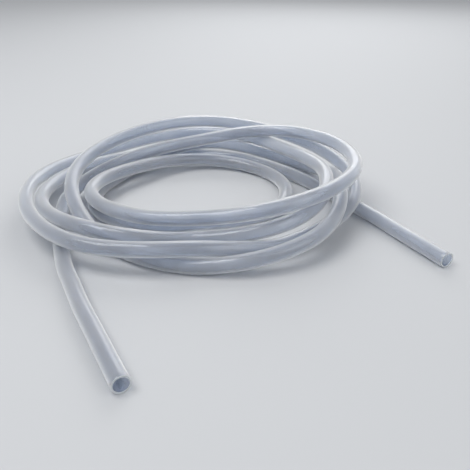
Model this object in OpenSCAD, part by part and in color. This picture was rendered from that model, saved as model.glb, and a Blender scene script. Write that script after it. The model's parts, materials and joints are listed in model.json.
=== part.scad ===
// Loose coil of translucent silicone tubing, as it lies on a bench.
// One free end lies in front. From there the tube winds five and a half turns
// clockwise, over and under itself, and runs out to the right on the bench.
// Millimetres. X is to the right, Y to the back and Z up from the bench. The
// origin is on the bench, in the middle of the whole piece.

/* [Tube] */
// Outer diameter of the tube
tube_od = 10; // [6:0.5:10]
// Thickness of the tube's wall
tube_wall = 1; // [0.5:0.1:2]

/* [Ends] */
// Straight stretch at each free end, which a fitting is pushed into
end_len = 27; // [10:1:30]

/* [Coil] */
// Width of the coil, from its left turn to its right turn
coil_width = 240; // [220:5:300]
// Rings swept between two neighbouring places of the winding
rings_per_place = 3; // [3:1:4]

/* [Hidden] */

// Sides of the swept tube's outer and inner wall
sides = 12;

// The winding, one row for each turn. A turn has eight places, an eighth of a
// turn apart: left, back left, back, back right, right, front right, front and
// front left. Each row lists how far the tube's middle is from the coil's
// middle there, in parts of which the coil is 240 wide.
parts_across = 240;
places = 8;
turn_radius = [
    [97, 87, 84, 109, 112, 86, 58, 60],
    [78, 73, 84, 80, 61, 45, 40, 53],
    [77, 88, 104, 116, 102, 104, 89, 82],
    [91, 95, 104, 116, 114, 86, 87, 109],
    [123, 126, 123, 96, 92, 88, 64, 90],
    [114, 113, 103, 93]
];

// How high the tube's underside lies over the bench at the same places, in
// tenths of the tube's own diameter: 0 is on the bench and 10 is on one strand
turn_lift = [
    [4, 12, 21, 30, 32, 28, 17, 12],
    [11, 9, 3, 0, 0, 3, 4, 2],
    [0, 1, 11, 0, 17, 10, 0, 0],
    [19, 28, 31, 21, 11, 1, 11, 12],
    [13, 8, 15, 18, 22, 17, 5, 12],
    [7, 4, 0, 0]
];

// Where the tube lies flat on the bench, in front of the coil and to its right.
// The points run from the free end's straight stretch inwards on the near side
// and from the coil outwards on the far side.
near_points = [
    [-37, -168], [-47, -149], [-57, -130], [-66, -111], [-75, -92],
    [-82, -73], [-88, -54], [-93, -36], [-96, -18]
];
far_points = [
    [77, 53], [88, 38], [99, 21], [109, 5],
    [119, -11], [128, -27], [136, -43], [144, -58]
];

tube_id = tube_od - 2 * tube_wall;
spread = coil_width / parts_across;
radii = [for (row = turn_radius) each row];
lifts = [for (row = turn_lift) each row];

// A polygon of this many sides has a circle's area at this share of its radius
full_area = sqrt(2 * PI / sides / sin(360 / sides));

// Value at share t of the way from b to c, on a smooth curve through all four
function smooth(a, b, c, d, t) =
    b + (c - a) * t / 2
    + (2 * a - 5 * b + 4 * c - d) * t * t / 2
    + (3 * b - a - 3 * c + d) * t * t * t / 2;

function held(list, i) = list[max(0, min(i, len(list) - 1))];

function along(list, i, t) =
    smooth(held(list, i - 1), held(list, i), held(list, i + 1), held(list, i + 2), t);

// Middle of the tube where it is wound, at a place counted from the first one
function wound_point(place) =
    let (
        i = floor(place),
        angle = 180 - place * 360 / places,
        radius = along(radii, i, place - i) * spread,
        lift = max(along(lifts, i, place - i), 0) / 10 * tube_od
    )
    [radius * cos(angle), radius * sin(angle), lift + tube_od / 2];

function bench_point(p) = [p[0] * spread, p[1] * spread, tube_od / 2];

// Middle line of the swept tube, one point for each ring
route = [
    for (p = near_points) bench_point(p),
    for (step = [0 : (len(radii) - 1) * rings_per_place]) wound_point(step / rings_per_place),
    for (p = far_points) bench_point(p)
];
last = len(route) - 1;

function unit(v) = v / norm(v);

function heading(i) = unit(route[min(i + 1, last)] - route[max(i - 1, 0)]);

// One ring of the sweep, level from side to side and with a flat underneath
function ring(i, radius) =
    let (
        side = unit(cross([0, 0, 1], heading(i))),
        up = cross(heading(i), side)
    )
    [for (k = [0 : sides - 1])
        let (turn = (k + 0.5) * 360 / sides)
        route[i] + radius * (side * cos(turn) + up * sin(turn))];

outer_rings = [for (i = [0 : last]) each ring(i, tube_od / 2 * full_area)];
inner_rings = [for (i = [0 : last]) each ring(i, tube_id / 2 * full_area)];

// Corner k of ring i, and the same corner of the inner wall
function corner(i, k) = i * sides + k % sides;
function inner_corner(i, k) = len(outer_rings) + corner(i, k);

// Free ends: where the straight stretches begin and which way they point
near_start = route[0];
far_start = route[last];
near_way = -heading(0);
far_way = heading(last);
near_tip = near_start + near_way * end_len;
far_tip = far_start + far_way * end_len;

// Half the room that a straight stretch's round end takes along X and Y
function end_reach(way) = [for (k = [0, 1]) tube_od / 2 * sqrt(1 - way[k] * way[k])];

// The piece's outline on the bench, and its middle
low = [for (k = [0, 1]) min(
    min([for (p = outer_rings) p[k]]),
    near_tip[k] - end_reach(near_way)[k],
    far_tip[k] - end_reach(far_way)[k])];
high = [for (k = [0, 1]) max(
    max([for (p = outer_rings) p[k]]),
    near_tip[k] + end_reach(near_way)[k],
    far_tip[k] + end_reach(far_way)[k])];
middle = [(low[0] + high[0]) / 2, (low[1] + high[1]) / 2, 0];

// The long bent stretch: outer wall, inner wall and a rim at each end
module swept_tube() {
    polyhedron(
        points = concat(outer_rings, inner_rings),
        faces = [
            for (i = [0 : last - 1], k = [0 : sides - 1]) each [
                [corner(i, k), corner(i + 1, k + 1), corner(i, k + 1)],
                [corner(i, k), corner(i + 1, k), corner(i + 1, k + 1)],
                [inner_corner(i, k), inner_corner(i, k + 1), inner_corner(i + 1, k + 1)],
                [inner_corner(i, k), inner_corner(i + 1, k + 1), inner_corner(i + 1, k)]
            ],
            for (k = [0 : sides - 1]) each [
                [corner(0, k), corner(0, k + 1), inner_corner(0, k + 1), inner_corner(0, k)],
                [corner(last, k), inner_corner(last, k),
                    inner_corner(last, k + 1), corner(last, k + 1)]
            ]
        ],
        convexity = 12
    );
}

// A straight, truly round stretch with an open bore, cut square at its tip
module round_end(start, way) {
    translate(start)
    rotate([0, 90, atan2(way[1], way[0])])
    difference() {
        cylinder(d = tube_od, h = end_len, $fn = 64);
        translate([0, 0, -1]) cylinder(d = tube_id, h = end_len + 2, $fn = 64);
    }
}

module silicone() {
    color([0.78, 0.82, 0.86, 0.7]) translate(-middle) children();
}

module coil() {
    silicone() swept_tube();
}

module near_end() {
    silicone() round_end(near_start, near_way);
}

module far_end() {
    silicone() round_end(far_start, far_way);
}

coil();
near_end();
far_end();
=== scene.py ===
import json
import math

import bmesh
import bpy
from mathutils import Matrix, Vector


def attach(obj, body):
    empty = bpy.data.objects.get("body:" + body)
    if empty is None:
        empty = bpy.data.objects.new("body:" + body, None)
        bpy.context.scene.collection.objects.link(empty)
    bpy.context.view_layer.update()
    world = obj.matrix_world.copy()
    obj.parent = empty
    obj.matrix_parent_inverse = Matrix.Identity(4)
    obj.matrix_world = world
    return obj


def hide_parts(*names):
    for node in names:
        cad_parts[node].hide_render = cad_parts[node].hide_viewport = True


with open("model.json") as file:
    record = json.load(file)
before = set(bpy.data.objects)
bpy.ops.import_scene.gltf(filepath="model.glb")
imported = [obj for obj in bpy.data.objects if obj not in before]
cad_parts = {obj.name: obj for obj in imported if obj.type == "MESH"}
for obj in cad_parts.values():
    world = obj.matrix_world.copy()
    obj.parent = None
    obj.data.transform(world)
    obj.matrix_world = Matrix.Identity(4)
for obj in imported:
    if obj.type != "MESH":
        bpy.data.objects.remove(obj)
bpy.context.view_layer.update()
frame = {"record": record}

mm = 0.001

camera = {
    "photoSize": 470,  # pixels, square
    "focalPixels": 586,
    "pitchDown": 28.0,  # degrees
    "place": (26.5 * mm, -392.0 * mm, 187.5 * mm),  # from the coil's middle
    "sensor": 36.0,
    "clipStart": 0.01,
}

tube = {
    "outerRadius": 5.0 * mm,
    "boreRadius": 4.0 * mm,
    "endLength": 27.0 * mm,
    "edgeRound": 0.22 * mm,  # soft edge of a cut end
    "sidesAround": 32,
    "ringSpacing": 3.5 * mm,
}

# The winding, one row for each turn: how far the tube's middle is from the
# coil's middle at eight places of the turn, clockwise from the left
placesPerTurn = 8
turnRadius = [
    [97, 87, 84, 109, 112, 86, 58, 60],
    [78, 73, 84, 80, 61, 45, 40, 53],
    [77, 88, 104, 116, 102, 104, 89, 82],
    [91, 95, 104, 116, 114, 86, 87, 109],
    [123, 126, 123, 96, 92, 88, 64, 90],
    [114, 113, 103, 93],
]

# How high the tube's underside lies there, in tenths of its diameter
turnLift = [
    [4, 12, 21, 30, 32, 28, 17, 12],
    [11, 9, 3, 0, 0, 3, 4, 2],
    [0, 1, 11, 0, 17, 10, 0, 0],
    [19, 28, 31, 21, 11, 1, 11, 12],
    [13, 8, 15, 18, 22, 17, 5, 12],
    [7, 4, 0, 0],
]

# Where the tube lies flat on the bench, from the near end inwards and from the
# coil outwards
nearPoints = [
    (-37, -168), (-47, -149), (-57, -130), (-66, -111), (-75, -92),
    (-82, -73), (-88, -54), (-93, -36), (-96, -18),
]
farPoints = [
    (77, 53), (88, 38), (99, 21), (109, 5),
    (119, -11), (128, -27), (136, -43), (144, -58),
]

# How finely the route's curve is worked out before it is divided evenly
curve = {
    "stepsPerSpan": 8,  # between two neighbouring points
    "spansPerPlace": 3,  # of the winding, as the solids have
}


def smooth(a, b, c, d, t):
    return (
        b
        + (c - a) * t / 2
        + (2 * a - 5 * b + 4 * c - d) * t * t / 2
        + (3 * b - a - 3 * c + d) * t * t * t / 2
    )


def alongList(values, place):
    i = int(math.floor(place))
    last = len(values) - 1
    a, b, c, d = (values[max(0, min(k, last))] for k in range(i - 1, i + 3))
    return smooth(a, b, c, d, place - i)


radii = [r * mm for row in turnRadius for r in row]
lifts = [z * 2 * tube["outerRadius"] / 10 for row in turnLift for z in row]


def woundPoint(place):
    angle = math.pi - place * 2 * math.pi / placesPerTurn
    radius = alongList(radii, place)
    height = tube["outerRadius"] + max(alongList(lifts, place), 0)
    return Vector((radius * math.cos(angle), radius * math.sin(angle), height))


def benchPoint(point):
    return Vector((point[0] * mm, point[1] * mm, tube["outerRadius"]))


def splineThrough(points, steps):
    line = []
    for i in range(len(points) - 1):
        for k in range(steps):
            line.append(alongList(points, i + k / steps))
    return line + [points[-1]]


def evenlySpaced(line, spacing):
    travelled = [0.0]
    for a, b in zip(line, line[1:]):
        travelled.append(travelled[-1] + (b - a).length)
    count = round(travelled[-1] / spacing)
    points = []
    k = 0
    for i in range(count + 1):
        goal = travelled[-1] * i / count
        while k < len(line) - 2 and travelled[k + 1] < goal:
            k += 1
        share = (goal - travelled[k]) / (travelled[k + 1] - travelled[k])
        points.append(line[k].lerp(line[k + 1], share))
    return points, travelled[-1]


def tubeRoute():
    steps = curve["stepsPerSpan"]
    spans = curve["spansPerPlace"]
    lastPlace = len(radii) - 1
    near = [benchPoint(p) for p in nearPoints]
    far = [benchPoint(p) for p in farPoints]
    near.insert(0, near[0] + (near[0] - near[1]).normalized() * tube["endLength"])
    far.append(far[-1] + (far[-1] - far[-2]).normalized() * tube["endLength"])
    intoCoil = [woundPoint(0), woundPoint(1 / spans)]
    outOfCoil = [woundPoint(lastPlace - 1 / spans), woundPoint(lastPlace)]
    nearLine = splineThrough(near + intoCoil, steps)
    farLine = splineThrough(outOfCoil + far, steps)
    perPlace = steps * spans
    wound = [woundPoint(k / perPlace) for k in range(1, lastPlace * perPlace)]
    line = nearLine[:-steps] + wound + farLine[steps:]
    for point in line:
        point.z = max(point.z, tube["outerRadius"])  # never into the bench
    return evenlySpaced(line, tube["ringSpacing"])


def placedOnFrame(points):
    mounts = {m["name"]: m for m in frame["record"]["mounts"]}
    coilMiddle = Vector(mounts["near_bore"]["pos_m"]) - points[0]
    return [p + coilMiddle for p in points], coilMiddle


route, tubeLength = tubeRoute()
route, coilMiddle = placedOnFrame(route)
print("tube route", len(route), "points,", round(tubeLength, 3), "m")


def addCamera():
    data = bpy.data.cameras.new("photoCamera")
    data.sensor_width = camera["sensor"]
    data.lens = camera["sensor"] * camera["focalPixels"] / camera["photoSize"]
    data.clip_start = camera["clipStart"]
    seat = bpy.data.objects.new("photoCamera", data)
    seat.location = Vector(camera["place"]) + coilMiddle
    seat.rotation_euler = (math.radians(90 - camera["pitchDown"]), 0, 0)
    bpy.context.collection.objects.link(seat)
    bpy.context.scene.camera = seat


addCamera()
print("camera placed")


def rimProfile():
    # distance from the cut end and radius, from the outside in to the bore
    r = tube["edgeRound"]
    inset = 0.3 * r  # of the corner's middle, on a round edge
    outer = tube["outerRadius"]
    bore = tube["boreRadius"]
    outerEdge = [(r, outer), (inset, outer - inset), (0, outer - r)]
    boreEdge = [(0, bore + r), (inset, bore + inset), (r, bore)]
    return outerEdge, boreEdge


finishSlots = {"outside": 0, "cut": 1, "bore": 2}


def finishAt(start, end, radius):
    tip = tube["edgeRound"]
    wallMiddle = (tube["outerRadius"] + tube["boreRadius"]) / 2
    if max(start, end) <= tip or min(start, end) >= tubeLength - tip:
        return finishSlots["cut"]
    return finishSlots["bore" if radius < wallMiddle else "outside"]


def makeTube():
    sides = tube["sidesAround"]
    mesh = bpy.data.meshes.new("siliconeTube")
    shape = bmesh.new()
    uv = shape.loops.layers.uv.new("alongTube")
    loop = []  # every ring once: start rim, outside, end rim, back through the bore

    def ringAt(centre, way, radius, metres):
        side = Vector((0, 0, 1)).cross(way).normalized()
        up = way.cross(side)
        ring = []
        for k in range(sides):
            turn = 2 * math.pi * k / sides
            out = side * math.cos(turn) + up * math.sin(turn)
            ring.append(shape.verts.new(centre + out * radius))
        loop.append((ring, metres, radius))

    last = len(route) - 1
    ways = []
    for i in range(last + 1):
        ways.append((route[min(i + 1, last)] - route[max(i - 1, 0)]).normalized())
    metres = [tubeLength * i / last for i in range(last + 1)]
    outerEdge, boreEdge = rimProfile()
    for back, radius in reversed(outerEdge):
        ringAt(route[0] + ways[0] * back, ways[0], radius, back)
    for i in range(1, last):
        ringAt(route[i], ways[i], tube["outerRadius"], metres[i])
    for back, radius in outerEdge + boreEdge:
        ringAt(route[last] - ways[last] * back, ways[last], radius, tubeLength - back)
    for i in range(last - 1, 0, -1):
        ringAt(route[i], ways[i], tube["boreRadius"], metres[i])
    for back, radius in reversed(boreEdge):
        ringAt(route[0] + ways[0] * back, ways[0], radius, back)

    for i, (ring, start, radius) in enumerate(loop):
        nextRing, end, _ = loop[(i + 1) % len(loop)]
        slot = finishAt(start, end, radius)
        for k in range(sides):
            n = (k + 1) % sides
            face = shape.faces.new((ring[k], ring[n], nextRing[n], nextRing[k]))
            face.smooth = True
            face.material_index = slot
            corners = ((start, k), (start, k + 1), (end, k + 1), (end, k))
            for corner, (distance, step) in zip(face.loops, corners):
                corner[uv].uv = (distance, step / sides)
    bmesh.ops.recalc_face_normals(shape, faces=shape.faces)
    shape.to_mesh(mesh)
    shape.free()
    piece = bpy.data.objects.new("siliconeTube", mesh)
    bpy.context.collection.objects.link(piece)
    return piece


def nodeTree(name):
    material = bpy.data.materials.new(name)
    material.use_nodes = True
    tree = material.node_tree
    tree.nodes.clear()
    output = tree.nodes.new("ShaderNodeOutputMaterial")
    shader = tree.nodes.new("ShaderNodeBsdfPrincipled")
    tree.links.new(shader.outputs["BSDF"], output.inputs["Surface"])
    return material, tree, shader


def noise(tree, vector, scale, detail):
    node = tree.nodes.new("ShaderNodeTexNoise")
    node.inputs["Scale"].default_value = scale
    node.inputs["Detail"].default_value = detail
    tree.links.new(vector, node.inputs["Vector"])
    return node.outputs["Fac"]


def tintFrom(tree, shader, value, low, high):
    # low and high: the ramp's place and colour at its two stops
    ramp = tree.nodes.new("ShaderNodeValToRGB")
    for stop, (position, colour) in zip(ramp.color_ramp.elements, (low, high)):
        stop.position = position
        stop.color = colour
    tree.links.new(value, ramp.inputs["Fac"])
    tree.links.new(ramp.outputs["Color"], shader.inputs["Base Color"])


def bumpFrom(tree, shader, value, strength, depth):
    bump = tree.nodes.new("ShaderNodeBump")
    bump.inputs["Strength"].default_value = strength
    bump.inputs["Distance"].default_value = depth
    tree.links.new(value, bump.inputs["Height"])
    tree.links.new(bump.outputs["Normal"], shader.inputs["Normal"])


silicone = {
    "bending": 1.18,  # low, as the wall is thin and bends light little
    "sheenRoughness": 0.56,
    "coatRoughness": 0.12,
    "cloudScale": 34,
    "cloudDetail": 3,
    "cloudEdges": (0.35, 0.68),
    "lineStretch": (5, 40, 1),  # along the tube and around it
    "lineDetail": 2,
    "lineDepth": 0.2 * mm,
}

outsideLook = {
    "clear": (0.90, 0.93, 0.97, 1),
    "cloudy": (0.96, 0.975, 0.99, 1),
    "throughShare": 0.81,  # of the light goes through
    "sheen": 1.0,
    "coat": 0.8,
    "roughness": (0.13, 0.25),
    "dieLines": 0.04,
}

# The bore's darker tint is painted shade: it darkens the middle of the tube, where one looks
# through the bore
borePaintedShadeLook = {
    "clear": (0.44, 0.51, 0.64, 1),  # darker and bluer than the outside: painted shade that darkens the tube's middle, so the wall seen edge-on stays pale
    "cloudy": (0.58, 0.64, 0.76, 1),
    "throughShare": 0.92,
    "sheen": 0.0,
    "coat": 0.0,
    "roughness": (0.08, 0.18),
    "dieLines": 0.02,
}


def siliconeFinish(name, look):
    material, tree, shader = nodeTree(name)
    shader.inputs["IOR"].default_value = silicone["bending"]
    shader.inputs["Transmission Weight"].default_value = look["throughShare"]
    shader.inputs["Sheen Weight"].default_value = look["sheen"]
    shader.inputs["Sheen Roughness"].default_value = silicone["sheenRoughness"]
    shader.inputs["Coat Weight"].default_value = look["coat"]
    shader.inputs["Coat Roughness"].default_value = silicone["coatRoughness"]

    place = tree.nodes.new("ShaderNodeTexCoord")
    cloud = noise(tree, place.outputs["Object"], silicone["cloudScale"], silicone["cloudDetail"])
    clearEdge, cloudyEdge = silicone["cloudEdges"]
    tintFrom(tree, shader, cloud, (clearEdge, look["clear"]), (cloudyEdge, look["cloudy"]))

    gloss = tree.nodes.new("ShaderNodeMapRange")
    gloss.inputs["To Min"].default_value = look["roughness"][0]
    gloss.inputs["To Max"].default_value = look["roughness"][1]
    tree.links.new(cloud, gloss.inputs["Value"])
    tree.links.new(gloss.outputs["Result"], shader.inputs["Roughness"])

    # faint lines that the die leaves along the tube
    unrolled = tree.nodes.new("ShaderNodeUVMap")
    unrolled.uv_map = "alongTube"
    stretch = tree.nodes.new("ShaderNodeMapping")
    stretch.inputs["Scale"].default_value = silicone["lineStretch"]
    tree.links.new(unrolled.outputs["UV"], stretch.inputs["Vector"])
    lines = noise(tree, stretch.outputs["Vector"], 1, silicone["lineDetail"])
    bumpFrom(tree, shader, lines, look["dieLines"], silicone["lineDepth"])
    return material


cutLook = {
    "dark": (0.76, 0.79, 0.81, 1),
    "pale": (0.86, 0.88, 0.89, 1),
    "bending": 1.41,
    "throughShare": 0.3,
    "roughness": 0.45,
    "grainScale": 900,
    "grainDetail": 2,
    "grainBump": 0.3,
    "grainDepth": 0.1 * mm,
}


def cutFinish():
    material, tree, shader = nodeTree("cutSilicone")
    shader.inputs["IOR"].default_value = cutLook["bending"]
    shader.inputs["Transmission Weight"].default_value = cutLook["throughShare"]
    shader.inputs["Roughness"].default_value = cutLook["roughness"]
    place = tree.nodes.new("ShaderNodeTexCoord")
    grain = noise(tree, place.outputs["Object"], cutLook["grainScale"], cutLook["grainDetail"])
    tintFrom(tree, shader, grain, (0, cutLook["dark"]), (1, cutLook["pale"]))
    bumpFrom(tree, shader, grain, cutLook["grainBump"], cutLook["grainDepth"])
    return material


siliconeTube = makeTube()
siliconeTube.data.materials.append(siliconeFinish("milkySilicone", outsideLook))
siliconeTube.data.materials.append(cutFinish())
siliconeTube.data.materials.append(siliconeFinish("boreSilicone", borePaintedShadeLook))
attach(siliconeTube, "root")
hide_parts("coil", "near_end", "far_end")
print("tube made,", len(siliconeTube.data.polygons), "faces")


floorLook = {
    "size": 6.0,
    "colour": (0.60, 0.61, 0.625, 1),
    "roughness": 0.7,
}


def addFloor():
    half = floorLook["size"] / 2
    mesh = bpy.data.meshes.new("floor")
    corners = [(-half, -half, 0), (half, -half, 0), (half, half, 0), (-half, half, 0)]
    mesh.from_pydata(corners, [], [(0, 1, 2, 3)])
    floor = bpy.data.objects.new("floor", mesh)
    bpy.context.collection.objects.link(floor)
    material, tree, shader = nodeTree("paleFloor")
    shader.inputs["Base Color"].default_value = floorLook["colour"]
    shader.inputs["Roughness"].default_value = floorLook["roughness"]
    mesh.materials.append(material)


lamps = {
    "keyLamp": {"place": (-0.5, -0.1, 1.1), "size": 0.7, "watts": 7.0},
    "fillLamp": {"place": (0.9, -0.7, 0.8), "size": 0.9, "watts": 3.0},
    "backLamp": {"place": (0.2, 1.0, 0.7), "size": 0.8, "watts": 4.5},
}

room = {
    "colour": (0.9, 0.92, 0.95, 1),
    "strength": 0.5,
}


def addLamps():
    for name, look in lamps.items():
        data = bpy.data.lights.new(name, "AREA")
        data.size = look["size"]
        data.energy = look["watts"]
        lamp = bpy.data.objects.new(name, data)
        lamp.location = look["place"]
        lamp.rotation_euler = (-Vector(look["place"])).to_track_quat("-Z", "Y").to_euler()
        bpy.context.collection.objects.link(lamp)


def addRoom():
    world = bpy.data.worlds.new("paleRoom")
    world.use_nodes = True
    background = world.node_tree.nodes["Background"]
    background.inputs["Color"].default_value = room["colour"]
    background.inputs["Strength"].default_value = room["strength"]
    bpy.context.scene.world = world


addFloor()
addLamps()
addRoom()
bpy.context.scene.view_settings.view_transform = "Standard"
print("floor and lamps placed")
